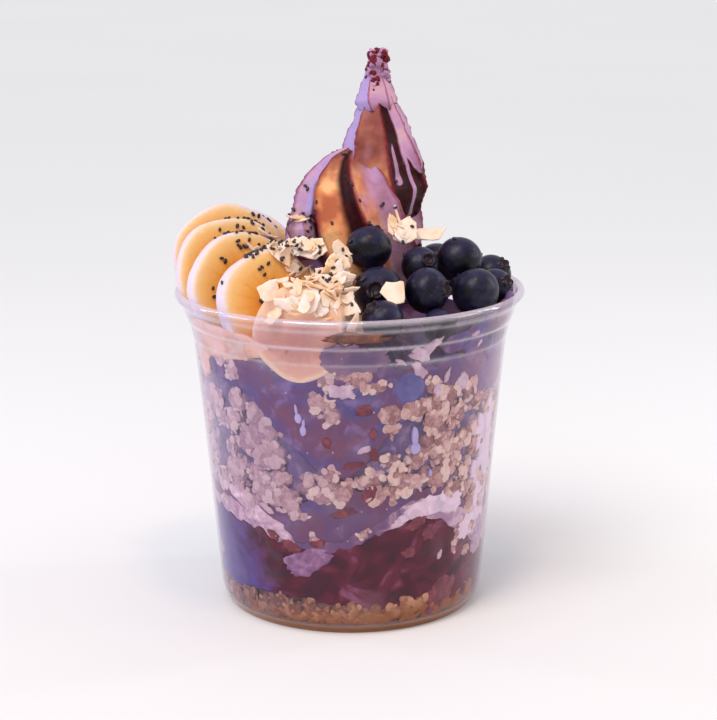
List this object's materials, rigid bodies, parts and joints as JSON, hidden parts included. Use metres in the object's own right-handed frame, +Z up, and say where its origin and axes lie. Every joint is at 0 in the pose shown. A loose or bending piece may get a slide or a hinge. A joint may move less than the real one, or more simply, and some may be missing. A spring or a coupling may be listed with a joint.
{
  "type": "acai bowl in a clear cup",
  "caption": "Clear flared cup filled with layers of acai, granola and berry puree, topped with an acai swirl, banana slices, blueberries, coconut chips and chia seeds.",
  "frame": {"origin": "centre of the cup's foot ring, on the surface it stands on", "axes": "+Z up along the cup's axis; the shown side faces -Y; +X to the right seen from the front"},
  "size_m": [0.1171, 0.1158, 0.1836],
  "materials": {
    "clear_plastic": "clear thin plastic, glossy",
    "acai": "frozen puree, soft satin",
    "acai_swirl": "soft-serve puree, moist satin",
    "berry_puree": "wet fruit puree",
    "milk": "condensed milk, moist",
    "granola": "toasted oat clusters, rough",
    "banana": "cut banana, moist satin",
    "blueberry": "dark skin with a pale bloom",
    "coconut": "dry coconut chips",
    "chia": "small dark seeds"
  },
  "bodies": {
    "root": {"cup": "clear_plastic", "granola_base": "granola", "berry_puree": "berry_puree", "milk_layer": "milk", "acai_lower": "acai", "granola_middle": "granola", "acai_upper": "acai", "acai_swirl": "acai_swirl", "banana_1": "banana", "banana_2": "banana", "banana_3": "banana", "banana_4": "banana", "banana_5": "banana", "banana_6": "banana", "blueberry_1": "blueberry", "blueberry_2": "blueberry", "blueberry_3": "blueberry", "blueberry_4": "blueberry", "blueberry_5": "blueberry", "blueberry_6": "blueberry", "blueberry_7": "blueberry", "blueberry_8": "blueberry", "blueberry_9": "blueberry", "blueberry_10": "blueberry", "blueberry_11": "blueberry", "blueberry_12": "blueberry", "blueberry_13": "blueberry", "blueberry_14": "blueberry", "blueberry_15": "blueberry", "blueberry_16": "blueberry", "coconut_chip_1": "coconut", "coconut_chip_2": "coconut", "coconut_chip_3": "coconut", "coconut_chip_4": "coconut", "coconut_chip_5": "coconut", "coconut_chip_6": "coconut", "coconut_chip_7": "coconut", "coconut_chip_8": "coconut", "coconut_chip_9": "coconut", "coconut_chip_10": "coconut", "coconut_chip_11": "coconut", "coconut_chip_12": "coconut"}
  },
  "joints": []
}
